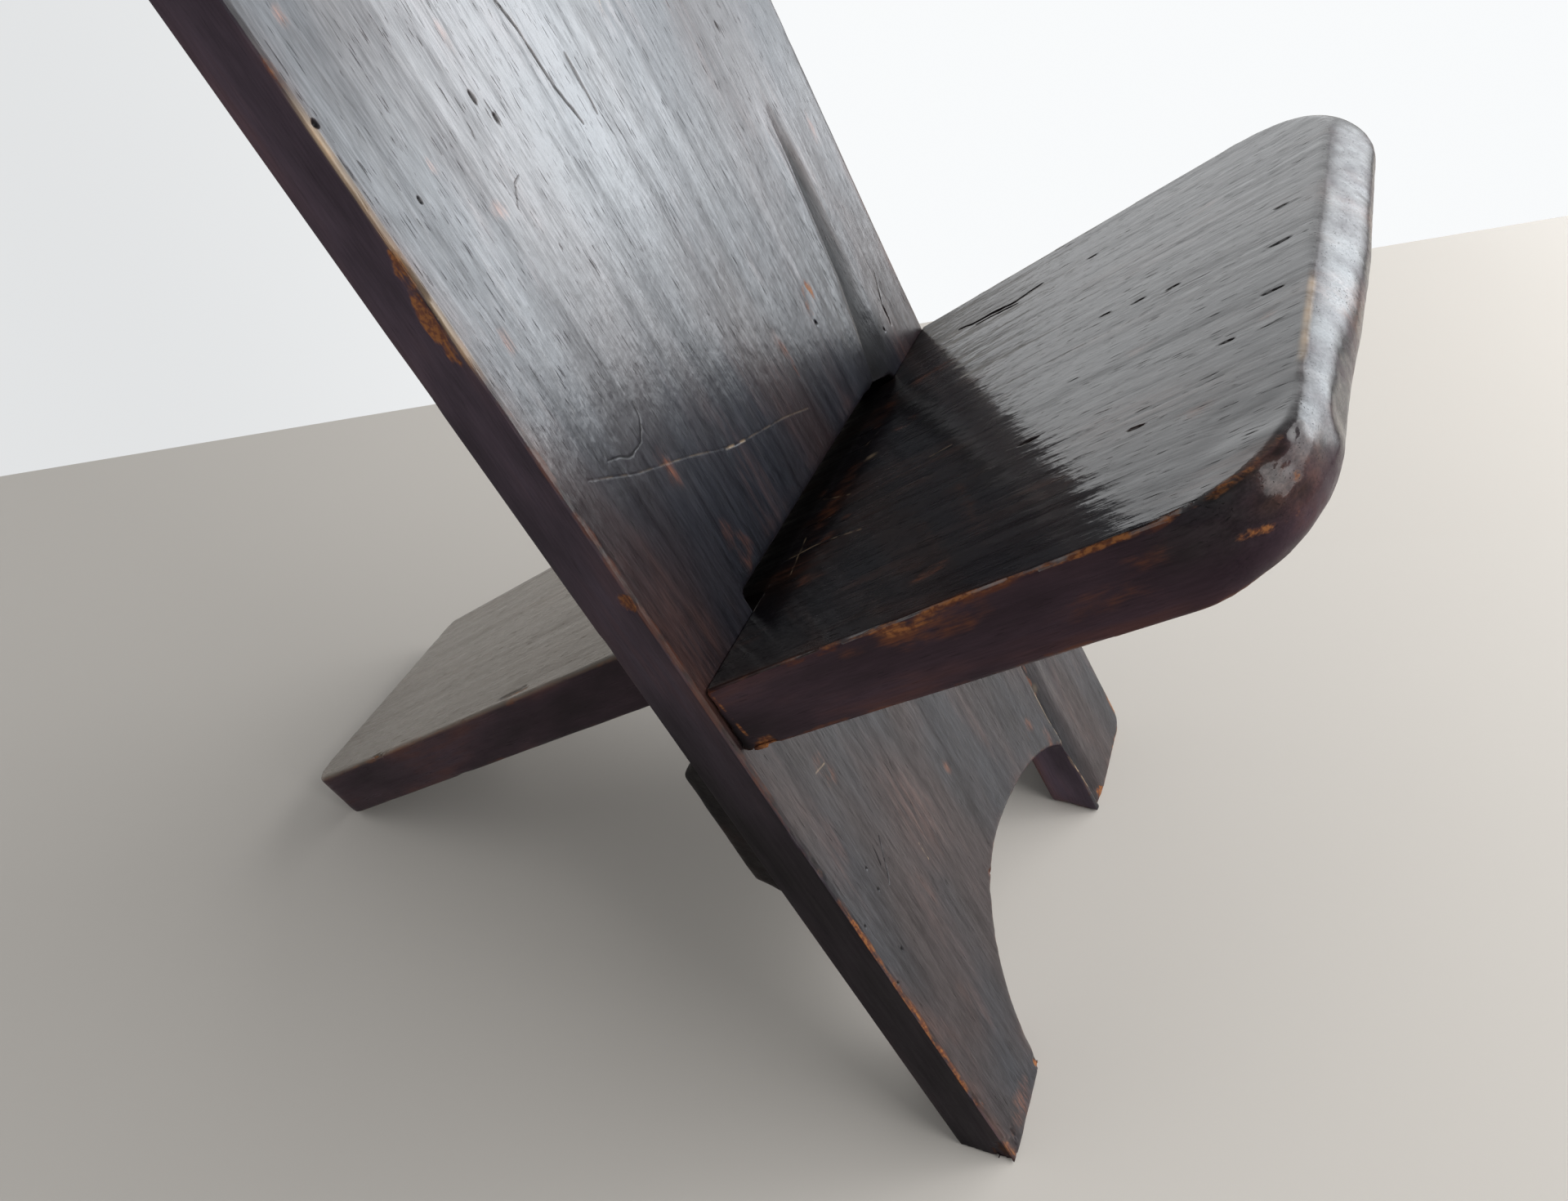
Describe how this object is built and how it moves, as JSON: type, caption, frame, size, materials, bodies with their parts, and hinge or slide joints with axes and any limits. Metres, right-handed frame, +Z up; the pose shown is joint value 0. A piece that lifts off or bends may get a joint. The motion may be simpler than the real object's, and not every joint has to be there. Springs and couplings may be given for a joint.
{
  "type": "birthing chair",
  "caption": "Low plank chair: a back that leans on arched feet, and a rising seat whose tail passes through a slot in the back and down to the floor.",
  "frame": {"origin": "on the floor, under the middle of the chair's box", "axes": "+Z up; +Y to the rear, where the back leans and the tail reaches the floor; -Y is the front, where the seat rises; +X is to the left of a person sitting in it"},
  "size_m": [0.3862, 0.6382, 0.7667],
  "materials": {
    "back_wood": "dark stained, hand-rubbed, worn to orange-brown on the edges",
    "seat_wood": "dark stained, polished by use, open grain on top",
    "bearer_wood": "rough, nearly black, waxed",
    "peg_wood": "cut end grain, dark"
  },
  "bodies": {
    "back": {"back_plank": "back_wood", "rear_bearer": "bearer_wood", "bearer_peg_1": "peg_wood", "bearer_peg_2": "peg_wood", "bearer_peg_3": "peg_wood", "bearer_peg_4": "peg_wood"},
    "seat": {"seat_plank": "seat_wood"}
  },
  "joints": [
    {"name": "seat_slide", "type": "slide", "parent": "back", "child": "seat", "axis": [0, -0.8007, 0.599], "range_m": [0, 0.53]}
  ]
}
